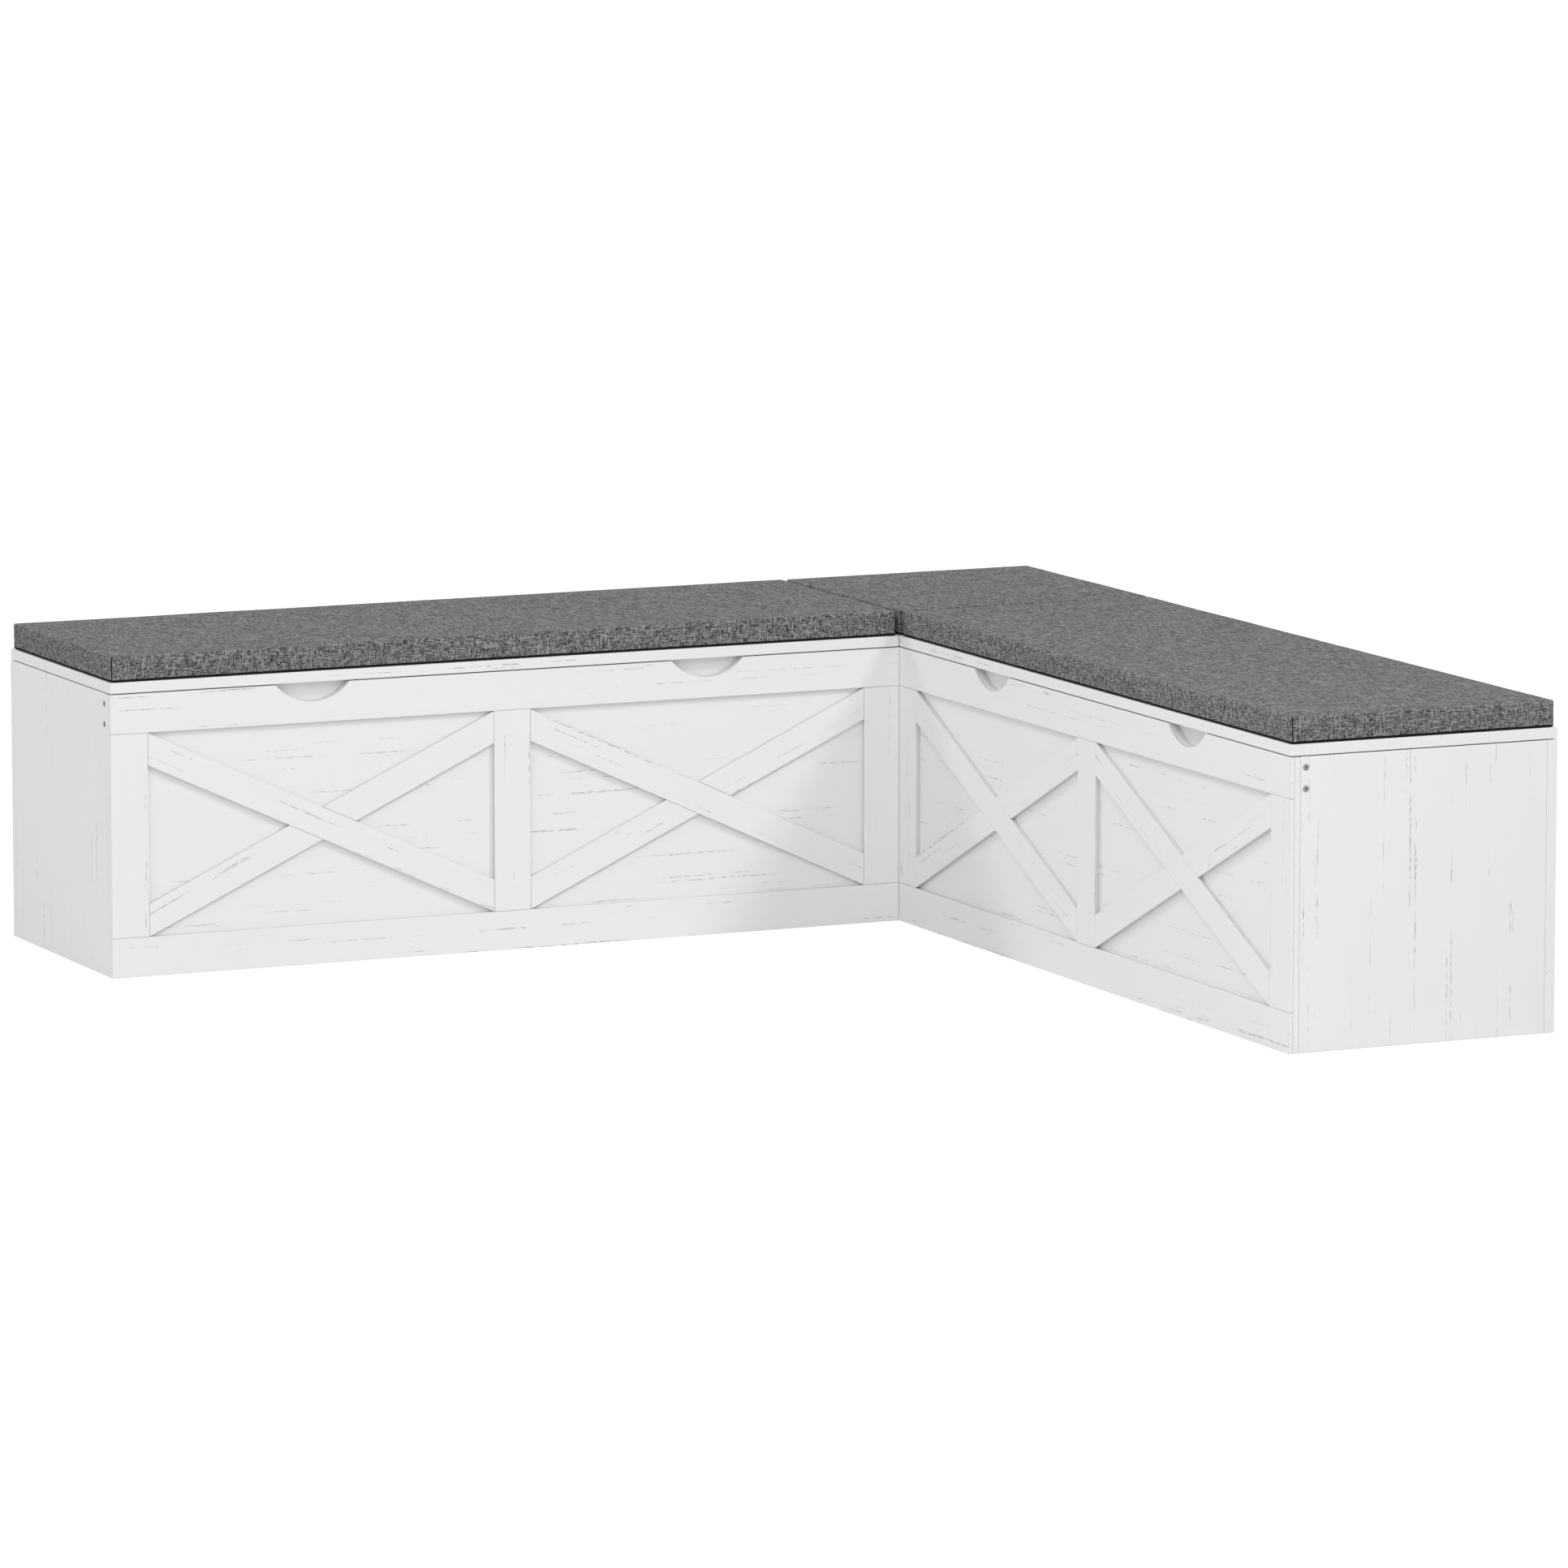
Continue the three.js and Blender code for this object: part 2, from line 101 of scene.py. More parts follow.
# Linen
YARN_DARK = (0.039, 0.039, 0.0388, 1)
YARN_LIGHT = (0.354, 0.353, 0.351, 1)
YARN_WIDTH = 1.15 * MM
YARN_RUN = 9 * MM
SLUB_WIDTH = 2.6 * MM
SLUB_RUN = 24 * MM
SLUB_SPAN = (0.5, 0.72)
SLUB_SHARE = 0.27
YARN_SPAN = (1.3, 1.98)
WEAVE_PITCH = 1.6 * MM
WEAVE_SHARE = 0.4
WEAVE_RELIEF = 0.35 * MM
# Painted shade: near-black cloth over the cushion's underside and bottom rounding, standing in for the
# contact shadow between cushion and lid
CONTACT_PAINTED_SHADE = (0.012, 0.012, 0.013, 1)
CONTACT_SHADE_GRAIN = 1.2 * MM
# Painted shade: near-black cloth in the bottom of the corner seam grooves, standing in for the shadow in
# the seam fold
SEAM_PAINTED_SHADE = (0.012, 0.012, 0.012, 1)
SEAM_SHADE_GRAIN = 0.8 * MM
DARK_CLOTH_RELIEF = 0.2 * MM

# Steel: colour, lowest roughness and share of metal
HINGE_STEEL = ((0.62, 0.63, 0.64), 0.26, 1)
SCREW_STEEL = ((0.39, 0.392, 0.395), 0.42, 0.6)
STEEL_MARK = 0.8 * MM
STEEL_MARK_ROUGHNESS = 0.2
STEEL_MARK_RELIEF = 0.02 * MM
STEEL_DULL = 14 * MM
STEEL_DULL_SPAN = (0.35, 0.75)
STEEL_DULL_SHADE = 0.82

# Small fittings that have no solid of their own
BOARD = 15 * MM
HEAD_RIM_SHARE = 0.6
HEAD_BEVEL_SHARE = 0.4
RECESS_FLOOR_SHARE = 0.8
HEX_STEPS_PER_SIDE = 4
HINGE_SCREW_PITCH = 96 * MM
HINGE_SCREW_END = 22 * MM
HINGE_SCREW_INSET = 6.4 * MM
HINGE_SCREW_RADIUS = 3.4 * MM
HINGE_SCREW_HEIGHT = 0.35 * MM
HINGE_SCREW_CROSS = (1.6 * MM, 0.42 * MM)
HINGE_SCREW_RECESS = 0.3 * MM
HINGE_SCREWS_LEAST = 4
LOCK_INSET = 49.3 * MM
LOCK_LEVELS = (80 * MM, 300 * MM)
LOCK_RADIUS = 7.5 * MM
LOCK_HEIGHT = 0.5 * MM
LOCK_CROSS = (3.4 * MM, 1.1 * MM)
LOCK_RECESS = 0.4 * MM
BOLT_ROWS = (90 * MM, 310 * MM)
BOLT_LEVELS = (80 * MM, 320 * MM)
BOLT_RADIUS = 6.5 * MM
BOLT_HEIGHT = 1.4 * MM
BOLT_HEX = 2.6 * MM
BOLT_RECESS = 1 * MM
BUMPER_INSET = 60 * MM
BUMPER_RADIUS = 4 * MM
BUMPER_HEIGHT = 1.2 * MM
BUMPER_DIMPLE = 2 * MM
BUMPER_DIMPLE_DEPTH = 0.3 * MM
BUMPER_SIDES = 24
BATTEN_MIDDLE = 22.8 * MM
BUMPER_GREY = (0.7, 0.7, 0.69, 1)

# Cushion cover
COVER_CELL = 9.5 * MM
COVER_CORNER = 5 * MM
COVER_BOTTOM_RADIUS = 2.5 * MM
COVER_SETTLE = 0.2 * MM
COVER_TOP_RADIUS = 1.6 * MM
COVER_TOP_BAND = 3.2 * MM
COVER_START_CROWN = 0.4 * MM
COVER_SWELL = 1.6 * MM
COVER_SIDE_CELLS = 4
COVER_SIM_FRAMES = 20
COVER_PRESSURE = 4
COVER_CLOTH_QUALITY = 5
COVER_UNEVEN = 0.35 * MM
COVER_UNEVEN_CELL = 90 * MM
COVER_UNEVEN_START = Vector((3.1, 0.4, 7.7))
COVER_UNEVEN_RISE = 20 * MM
LEAST_MOVE = 1e-9
COVER_UNEVEN_SEED = 7
SEAM_DEPTH = 0.9 * MM
SEAM_ANGLES = [0, 16, 28, 35, 45, 55, 62, 74, 90]
SEAM_SHAPE = [0, 0, 0, 0.45, 1, 0.45, 0, 0, 0]
# Cells of each corner arc that take the painted seam shade
SEAM_SHADE_CELLS = (3, 4)
BOTTOM_ARC = [35, 72, 90]
# Rings from the bottom up that take the painted contact shade
CONTACT_SHADE_RINGS = 3
CONTACT_SHADE_INDEX = 1
SEAM_SHADE_INDEX = 2
TOP_ARC = [0, 30, 60, 90]


class Finish:
    """A procedural material, with short calls for the nodes that the finishes use."""

    def __init__(self, name, **settings):
        self.material = bpy.data.materials.new(name)
        self.material.use_nodes = True
        self.nodes = self.material.node_tree.nodes
        self.links = self.material.node_tree.links
        self.nodes.clear()
        self.shader = self.nodes.new("ShaderNodeBsdfPrincipled")
        self.output = self.nodes.new("ShaderNodeOutputMaterial")
        self.feed(self.output.inputs["Surface"], self.shader.outputs["BSDF"])
        for socket, value in settings.items():
            self.feed(self.shader.inputs[socket.replace("_", " ")], value)

    def feed(self, socket, value):
        """Links a socket to another one, or sets it to a plain value."""
        if isinstance(value, bpy.types.NodeSocket):
            self.links.new(value, socket)
        else:
            socket.default_value = value

    def texture_space(self, output):
        return self.nodes.new("ShaderNodeTexCoord").outputs[output]

    def combine(self, parts):
        node = self.nodes.new("ShaderNodeCombineXYZ")
        for socket, value in zip(node.inputs, parts):
            self.feed(socket, value)
        return node.outputs[0]

    def separate(self, vector):
        node = self.nodes.new("ShaderNodeSeparateXYZ")
        self.feed(node.inputs[0], vector)
        return node.outputs[:]

    def along(self, vector, direction):
        """How far a vector reaches along a direction."""
        node = self.nodes.new("ShaderNodeVectorMath")
        node.operation = "DOT_PRODUCT"
        self.feed(node.inputs[0], vector)
        node.inputs[1].default_value = direction
        return node.outputs["Value"]

    def math(self, operation, *values):
        node = self.nodes.new("ShaderNodeMath")
        node.operation = operation
        for socket, value in zip(node.inputs, values):
            self.feed(socket, value)
        return node.outputs[0]

    def noise(self, place, cell, detail=1):
        """Noise whose lumps measure about one cell = (x, y, z) in metres."""
        scale = self.nodes.new("ShaderNodeMapping")
        self.feed(scale.inputs["Vector"], place)
        scale.inputs["Scale"].default_value = [1 / size for size in cell]
        texture = self.nodes.new("ShaderNodeTexNoise")
        self.feed(texture.inputs["Vector"], scale.outputs[0])
        texture.inputs["Scale"].default_value = 1
        texture.inputs["Detail"].default_value = detail
        return texture.outputs["Fac"]

    def span(self, value, low, high):
        """Turns low..high smoothly into 0..1."""
        node = self.nodes.new("ShaderNodeMapRange")
        node.interpolation_type = "SMOOTHSTEP"
        self.feed(node.inputs["Value"], value)
        node.inputs["From Min"].default_value = low
        node.inputs["From Max"].default_value = high
        return node.outputs[0]

    def mix(self, share, first, second):
        """Mixes two colours: the colour sockets of the node are inputs 6 and 7 and output 2."""
        node = self.nodes.new("ShaderNodeMix")
        node.data_type = "RGBA"
        self.feed(node.inputs["Factor"], share)
        self.feed(node.inputs[6], first)
        self.feed(node.inputs[7], second)
        return node.outputs[2]

    def bump(self, height, distance):
        node = self.nodes.new("ShaderNodeBump")
        node.inputs["Distance"].default_value = distance
        self.feed(node.inputs["Height"], height)
        self.feed(self.shader.inputs["Normal"], node.outputs[0])


def laminate(name, grain, face, paints_edge_shade, open_side):
    """White wood-grain laminate: grain is the way the wood runs, and face points out of the board.
    Boards with painted edge shade get a greyer tone painted on their edges as shade, but not on the
    edges towards open_side."""
    finish = Finish(name, Roughness=0.46, Specular_IOR_Level=0.35)
    place = finish.texture_space("Object")
    across = face.cross(grain)
    along, side, depth = [finish.along(place, direction) for direction in (grain, across, face)]
    straight = finish.combine([along, side, depth])

    def streaks(wood, cell, detail=1):
        """Noise drawn out along the grain, from (length, width)."""
        length, width = cell
        return finish.noise(wood, (length, width, width), detail=detail)

    wave = finish.math("MULTIPLY_ADD", streaks(straight, GRAIN_WAVE_CELL), GRAIN_WAVE, side)
    wood = finish.combine([along, wave, depth])
    rows = finish.span(streaks(wood, FLECK_ROW, detail=0.5), *FLECK_ROW_SPAN)
    dashes = finish.span(streaks(wood, FLECK_DASH), *FLECK_DASH_SPAN)
    patches = finish.span(streaks(wood, FLECK_PATCH), *FLECK_PATCH_SPAN)
    fleck = finish.math("MULTIPLY", rows, dashes)
    fleck = finish.math("MULTIPLY", fleck, patches)

    tone = finish.span(streaks(wood, TONE_CELL, detail=2), *TONE_SPAN)
    colour = finish.mix(tone, LAMINATE_WHITE, LAMINATE_TINT)
    # Painted shade: faces that turn away from the board's face are painted grey, except towards
    # open_side
    if paints_edge_shade:
        normal = finish.texture_space("Normal")
        turned = finish.math("ABSOLUTE", finish.along(normal, face))
        edge = finish.span(turned, *EDGE_SHADE_TURN_SPAN)
        if open_side is not None:
            closed = finish.span(finish.along(normal, open_side), *OPEN_SIDE_SPAN)
            edge = finish.math("MULTIPLY", edge, closed)
        colour = finish.mix(edge, colour, EDGE_PAINTED_SHADE)
    finish.feed(finish.shader.inputs["Base Color"], finish.mix(fleck, colour, FLECK_GREY))

    fibres = streaks(wood, (FIBRE_RUN, FIBRE_WIDTH))
    finish.bump(finish.math("SUBTRACT", fibres, fleck), FIBRE_RELIEF)
    return finish.material


def linen():
    """Heather linen: light and dark yarns that run along each of the three axes."""
    finish = Finish("grey_linen", Roughness=0.95, Specular_IOR_Level=0.12, Sheen_Weight=0.03)
    place = finish.texture_space("Object")
    yarns = []
    slubs = []
    for axis in range(3):
        cell = [YARN_WIDTH] * 3
        cell[axis] = YARN_RUN
        yarns.append(finish.noise(place, cell))
        cell = [SLUB_WIDTH] * 3
        cell[axis] = SLUB_RUN
        slubs.append(finish.span(finish.noise(place, cell), *SLUB_SPAN))
    total = finish.math("ADD", yarns[0], yarns[1])
    total = finish.math("ADD", total, yarns[2])
    slub = finish.math("MAXIMUM", slubs[0], slubs[1])
    slub = finish.math("MAXIMUM", slub, slubs[2])
    total = finish.math("MULTIPLY_ADD", slub, SLUB_SHARE, total)
    share = finish.span(total, *YARN_SPAN)
    colour = finish.mix(share, YARN_DARK, YARN_LIGHT)
    finish.feed(finish.shader.inputs["Base Color"], colour)

    waves = []
    for value in finish.separate(place):
        turns = finish.math("MULTIPLY", value, math.tau / WEAVE_PITCH)
        waves.append(finish.math("SINE", turns))
    normal = finish.separate(finish.texture_space("Normal"))
    facing = [finish.math("ABSOLUTE", value) for value in normal]
    weave = 0
    for axis in range(3):
        first, second = [waves[other] for other in range(3) if other != axis]
        cloth = finish.math("MULTIPLY", first, second)
        weave = finish.math("MULTIPLY_ADD", cloth, facing[axis], weave)
    finish.bump(finish.math("MULTIPLY_ADD", weave, WEAVE_SHARE, total), WEAVE_RELIEF)
    return finish.material


def painted_shade_cloth(name, colour, grain):
    """Near-black rough cloth painted where shade falls, at the cushions' contact line and corner seams,
    with lumps of the size of its grain.
    """
    finish = Finish(name, Base_Color=colour, Roughness=0.95, Specular_IOR_Level=0.1)
    lumps = finish.noise(finish.texture_space("Object"), [grain] * 3, detail=2)
    finish.bump(lumps, DARK_CLOTH_RELIEF)
    return finish.material


def steel(name, colour, roughness, metallic):
    """Plated steel with fine rolling marks."""
    finish = Finish(name, Metallic=metallic)
    place = finish.texture_space("Object")
    marks = finish.noise(place, [STEEL_MARK] * 3, detail=2)
    rough = finish.math("MULTIPLY_ADD", marks, STEEL_MARK_ROUGHNESS, roughness)
    finish.feed(finish.shader.inputs["Roughness"], rough)
    dull = finish.span(finish.noise(place, [STEEL_DULL] * 3, detail=2), *STEEL_DULL_SPAN)
    shade = [channel * STEEL_DULL_SHADE for channel in colour]
    finish.feed(finish.shader.inputs["Base Color"], finish.mix(dull, (*colour, 1), (*shade, 1)))
    finish.bump(marks, STEEL_MARK_RELIEF)
    return finish.material


class Module:
    """One chest of the bench, with its own directions: along its front, and to its back."""

    def __init__(self, name, front_node, along, back):
        self.name = name
        self.along = along
        self.back = back
        boxes = [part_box(f"{name}_back_panel"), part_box(front_node)]
        low = Vector(min(box[0][axis] for box in boxes) for axis in range(3))
        high = Vector(max(box[1][axis] for box in boxes) for axis in range(3))
        half = (high - low) / 2
        self.length = 2 * abs(half.dot(along))
        self.depth = 2 * abs(half.dot(back))
        self.origin = (low + high) / 2 - (along * self.length + back * self.depth) / 2
        self.origin.z = 0

    def at(self, x, y, z):
        """A place in the frame, from places along the front, to the back and up."""
        return self.origin + self.along * x + self.back * y + Z * z


def cover_ring(length, width, counts, inset, height, seam_depth):
    """One level of a cover: counter-clockwise from the right end, with a corner seam in each arc."""
    reach_x = length / 2 - COVER_CORNER
    reach_y = width / 2 - COVER_CORNER
    corners = [(1, 1), (-1, 1), (-1, -1), (1, -1)]
    arcs = []
    for index, (sign_x, sign_y) in enumerate(corners):
        arc = []
        for degrees, seam in zip(SEAM_ANGLES, SEAM_SHAPE):
            angle = math.radians(degrees + 90 * index)
            radius = COVER_CORNER - inset - seam * seam_depth
            x = sign_x * reach_x + radius * math.cos(angle)
            y = sign_y * reach_y + radius * math.sin(angle)
            arc.append((x, y, height))
        arcs.append(arc)
    ring = []
    for index, arc in enumerate(arcs):
        start = np.array(arc[-1])
        end = np.array(arcs[(index + 1) % 4][0])
        cells = counts[index % 2]
        ring += arc
        ring += [tuple(start + (end - start) * step / cells) for step in range(1, cells)]
    return ring


def cover_grid(length, width, counts, height, crown):
    """The flat middle of a cover's top or bottom."""
    xs = np.linspace(-1, 1, counts[0] + 1)
    ys = np.linspace(-1, 1, counts[1] + 1)
    reach_x = length / 2 - COVER_CORNER
    reach_y = width / 2 - COVER_CORNER
    return [(x * reach_x, y * reach_y, height + crown * (1 - x**2) * (1 - y**2)) for y in ys for x in xs]


def grid_edge(counts, start):
    """The numbers of a grid's outer points, in the order of a ring, a corner once for each arc point."""
    across, deep = counts
    row = across + 1
    corner = len(SEAM_ANGLES)
    top_row = start + deep * row
    edge = [top_row + across] * corner
    edge += [top_row + step for step in range(across - 1, 0, -1)]
    edge += [top_row] * corner
    edge += [start + step * row for step in range(deep - 1, 0, -1)]
    edge += [start] * corner
    edge += [start + step for step in range(1, across)]
    edge += [start + across] * corner
    edge += [start + step * row + across for step in range(1, deep)]
    return edge


def cover_levels(height):
    """(inset, height) of each ring of a cover, from the bottom up."""
    levels = []
    for degrees in BOTTOM_ARC:
        angle = math.radians(degrees)
        inset = COVER_BOTTOM_RADIUS * (1 - math.sin(angle))
        levels.append((inset, COVER_BOTTOM_RADIUS * (1 - math.cos(angle))))
    rise = height - COVER_BOTTOM_RADIUS - COVER_TOP_RADIUS
    for step in range(1, COVER_SIDE_CELLS):
        levels.append((0, COVER_BOTTOM_RADIUS + rise * step / COVER_SIDE_CELLS))
    for degrees in TOP_ARC:
        angle = math.radians(degrees)
        inset = COVER_TOP_RADIUS * (1 - math.cos(angle))
        levels.append((inset, height - COVER_TOP_RADIUS * (1 - math.sin(angle))))
    levels.append((COVER_TOP_BAND, height))
    return levels


def arc_positions(counts):
    """Where each corner arc starts in a ring of a cover."""
    positions = [0]
    for side in range(3):
        positions.append(positions[-1] + len(SEAM_ANGLES) + counts[side % 2] - 1)
    return positions


def cover_mesh(name, length, width, height):
    """A box cover as one closed mesh about its own middle, and the numbers of its sewn points."""
    counts = [round(size / COVER_CELL) for size in (length, width)]
    points = cover_grid(length, width, counts, 0, 0)
    grid_size = len(points)
    levels = cover_levels(height)
    rings = [grid_edge(counts, 0)]
    for inset, level in levels:
        depth = SEAM_DEPTH * min(1, max(0, 1 - inset / COVER_TOP_RADIUS))
        ring = cover_ring(length, width, counts, inset, level, depth)
        rings.append(list(range(len(points), len(points) + len(ring))))
        points += ring
    top_start = len(points)
    points += cover_grid(length, width, counts, height, COVER_START_CROWN)
    rings.append(grid_edge(counts, top_start))

    faces = []
    row = counts[0] + 1
    for j in range(counts[1]):
        for i in range(counts[0]):
            corner = j * row + i
            faces.append([corner, corner + row, corner + row + 1, corner + 1])
            high = corner + top_start
            faces.append([high, high + 1, high + row + 1, high + row])
    contact_shade_faces = set(range(0, len(faces), 2))
    corners = arc_positions(counts)
    seam_shade_cells = {position + cell for position in corners for cell in SEAM_SHADE_CELLS}
    seam_shade_faces = set()
    for number, (below, above) in enumerate(zip(rings, rings[1:])):
        for index in range(len(below)):
            following = (index + 1) % len(below)
            loop = [below[index], below[following], above[following], above[index]]
            unique = list(dict.fromkeys(loop))
            if len(unique) > 2:
                # Painted shade: the lowest rings take the dark contact shade cloth
                if number < CONTACT_SHADE_RINGS:
                    contact_shade_faces.add(len(faces))
                # Painted shade: the cells at the bottom of each corner seam groove take the dark seam
                # shade
                elif index in seam_shade_cells:
                    seam_shade_faces.add(len(faces))
                faces.append(unique)

    mesh = bpy.data.meshes.new(name)
    mesh.from_pydata(points, [], faces)
    for face in mesh.polygons:
        if face.index in contact_shade_faces:
            face.material_index = CONTACT_SHADE_INDEX
        elif face.index in seam_shade_faces:
            face.material_index = SEAM_SHADE_INDEX
        face.use_smooth = True

    side_rings = range(len(BOTTOM_ARC) + 1, len(BOTTOM_ARC) + COVER_SIDE_CELLS)
    free = set(range(top_start, len(points))) - set(rings[-1])
    for number in side_rings:
        free |= set(rings[number])
    for number in side_rings:
        for position in corners:
            free -= set(rings[number][position:position + len(SEAM_ANGLES)])
    sewn = sorted(set(range(len(points))) - free)
    return mesh, sewn


def swell(cover, sewn):
    """Fills a cover with Cloth pressure while its sewn points are held, and limits the swelling."""
    rest = np.array([point.co for point in cover.data.vertices])
    group = cover.vertex_groups.new(name="sewn")
    group.add(sewn, 1, "REPLACE")
    cloth = cover.modifiers.new("swell", "CLOTH")
    cloth.settings.use_pressure = True
    cloth.settings.uniform_pressure_force = COVER_PRESSURE
    cloth.settings.vertex_group_mass = group.name
    cloth.settings.effector_weights.gravity = 0
    cloth.settings.quality = COVER_CLOTH_QUALITY
    cloth.point_cache.frame_start = 1
    cloth.point_cache.frame_end = COVER_SIM_FRAMES
    scene = bpy.context.scene
    for number in range(1, COVER_SIM_FRAMES + 1):
        scene.frame_set(number)
    swollen = cover.evaluated_get(bpy.context.evaluated_depsgraph_get())
    moved = np.array([point.co for point in swollen.data.vertices]) - rest
    distance = np.linalg.norm(moved, axis=1)
    share = COVER_SWELL * np.tanh(distance / COVER_SWELL) / np.maximum(distance, LEAST_MOVE)
    cover.modifiers.remove(cloth)
    cover.vertex_groups.remove(group)
    cover.data.vertices.foreach_set("co", (rest + moved * share[:, None]).ravel())
    scene.frame_set(1)


def loosen(mesh):
    """Gives the upper parts of a cover the slight unevenness of foam."""
    noise.seed_set(COVER_UNEVEN_SEED)
    for point in mesh.vertices:
        lift = min(1, max(0, point.co.z / COVER_UNEVEN_RISE))
        offset = noise.noise_vector(point.co / COVER_UNEVEN_CELL + COVER_UNEVEN_START)
        point.co += offset * COVER_UNEVEN * lift


def apply_modifiers(piece):
    """Replaces a piece's mesh by what its modifiers make of it."""
    graph = bpy.context.evaluated_depsgraph_get()
    made = bpy.data.meshes.new_from_object(piece.evaluated_get(graph))
    piece.modifiers.clear()
    piece.data = made


def add_cushion(module, fabric, contact_shade, seam_shade):
    """A seat cushion: a sewn box cover over foam, on its lid."""
    node = f"{module.name}_cushion"
    low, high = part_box(node)
    size = high - low
    length = abs(size.dot(module.along))
    width = abs(size.dot(module.back))
    height = size.z - COVER_SWELL
    mesh, sewn = cover_mesh(f"{module.name}_seat_cover", length, width, height)
    # The second and third materials paint the contact shade and the seam shade
    for material in (fabric, contact_shade, seam_shade):
        mesh.materials.append(material)
    cover = bpy.data.objects.new(mesh.name, mesh)
    bpy.context.scene.collection.objects.link(cover)
    swell(cover, sewn)
    loosen(cover.data)
    smooth = cover.modifiers.new("smooth", "SUBSURF")
    smooth.levels = 1
    smooth.render_levels = 1
    apply_modifiers(cover)

    middle = (low + high) / 2
    middle.z = low.z - COVER_SETTLE
    axes = Matrix((module.along, module.back, Z)).transposed().to_4x4()
    cover.data.transform(Matrix.Translation(middle) @ axes)
    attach(cover, f"{module.name}_lid")
    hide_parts(node)


def cross_recess(reach, half_width):
    """(angle, radius) around a cross recess."""
    edge = math.atan2(half_width, reach)
    tip = math.hypot(reach, half_width)
    slant = math.pi / 8
    outline = []
    for quarter in range(4):
        turn = quarter * math.pi / 2
        outline += [(turn - edge, tip), (turn, reach), (turn + edge, tip)]
        outline += [
            (turn + slant, half_width / math.sin(slant)),
            (turn + 2 * slant, half_width * math.sqrt(2)),
            (turn + 3 * slant, half_width / math.sin(slant)),
        ]
    return outline


def hex_recess(flat_radius):
    """(angle, radius) around a hexagonal recess."""
    outline = []
    sides = 6
    step = math.tau / sides
    for index in range(HEX_STEPS_PER_SIDE * sides):
        angle = index * step / HEX_STEPS_PER_SIDE
        from_flat = (angle + step / 2) % step - step / 2
        outline.append((angle, flat_radius / math.cos(from_flat)))
    return outline


def add_heads(name, body, places, out, radius, height, recess, depth, finish, slot):
    """Round heads that stand out of a face, each with a recess, as one piece."""
    side = Y if abs(out.x) > abs(out.y) else X
    other = out.cross(side)
    points = []
    faces = []
    for place in places:
        first = len(points)
        count = len(recess)
        rings = [
            [(angle, radius, 0) for angle, _ in recess],
            [(angle, radius, height * HEAD_RIM_SHARE) for angle, _ in recess],
            [(angle, radius - height * HEAD_BEVEL_SHARE, height) for angle, _ in recess],
            [(angle, inner, height) for angle, inner in recess],
            [(angle, inner * RECESS_FLOOR_SHARE, height - depth) for angle, inner in recess],
        ]
        for ring in rings:
            for angle, reach, rise in ring:
                spoke = side * math.cos(angle) + other * math.sin(angle)
                points.append(place + spoke * reach + out * rise)
        for ring in range(len(rings) - 1):
            for index in range(count):
                following = (index + 1) % count
                low = first + ring * count
                high = low + count
                faces.append([low + index, low + following, high + following, high + index])
        last = first + (len(rings) - 1) * count
        faces.append(list(range(last, last + count)))
        faces.append(list(range(first + count - 1, first - 1, -1)))
    mesh = bpy.data.meshes.new(name)
    mesh.from_pydata(points, [], faces)
    mesh.materials.append(finish)
    heads = bpy.data.objects.new(name, mesh)
    bpy.context.scene.collection.objects.link(heads)
    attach(heads, body)


def add_hinge_screws(module, finish):
    """Countersunk screws along both leaves of a lid's hinge."""
    name = module.name
    low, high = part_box(f"{name}_hinge_base_leaf")
    span = abs((high - low).dot(module.along))
    inset = (module.length - span) / 2
    count = max(HINGE_SCREWS_LEAST, round(span / HINGE_SCREW_PITCH))
    row = module.depth - HINGE_SCREW_INSET
    size = (HINGE_SCREW_RADIUS, HINGE_SCREW_HEIGHT, cross_recess(*HINGE_SCREW_CROSS), HINGE_SCREW_RECESS)
    faces = [("base_leaf", "carcass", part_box(f"{name}_back_panel")[1].z, Z)]
    faces.append(("lid_leaf", f"{name}_lid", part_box(f"{name}_lid")[0].z, -Z))
    for leaf, body, height, out in faces:
        places = []
        for index in range(count):
            x = inset + HINGE_SCREW_END + (span - 2 * HINGE_SCREW_END) * index / (count - 1)
            places.append(module.at(x, row, height))
        add_heads(f"{name}_{leaf}_screws", body, places, out, *size, finish, "screw_steel")


def add_cam_locks(module, finish):
    """Cam locks that pull the front and back panels onto both end panels."""
    size = (LOCK_RADIUS, LOCK_HEIGHT, cross_recess(*LOCK_CROSS), LOCK_RECESS)
    rows = (LOCK_INSET, module.depth - LOCK_INSET)
    ends = [("first", BOARD, module.along), ("last", module.length - BOARD, -module.along)]
    for end, x, out in ends:
        places = [module.at(x, row, level) for row in rows for level in LOCK_LEVELS]
        piece = f"{module.name}_{end}_end_cam_locks"
        add_heads(piece, "carcass", places, out, *size, finish, "hinge_steel")


def add_connector_bolts(modules, finish):
    """Bolts that hold the two benches to the corner box, with a head on each inner side."""
    left, right, corner = [modules[name] for name in ("left", "right", "corner")]
    walls = [
        ("left_inner_end", left, -left.along, left.length - BOARD),
        ("right_inner_end", right, right.along, BOARD),
        ("corner_left", corner, corner.along, BOARD),
    ]
    size = (BOLT_RADIUS, BOLT_HEIGHT, hex_recess(BOLT_HEX), BOLT_RECESS)
    spots = [(row, level) for row in BOLT_ROWS for level in BOLT_LEVELS]
    heads = []
    for name, module, out, x in walls:
        heads.append((name, out, [module.at(x, row, level) for row, level in spots]))
    heads.append(("corner_front", corner.back, [corner.at(row, BOARD, level) for row, level in spots]))
    for name, out, places in heads:
        add_heads(f"{name}_connector_bolts", "carcass", places, out, *size, finish, "hinge_steel")


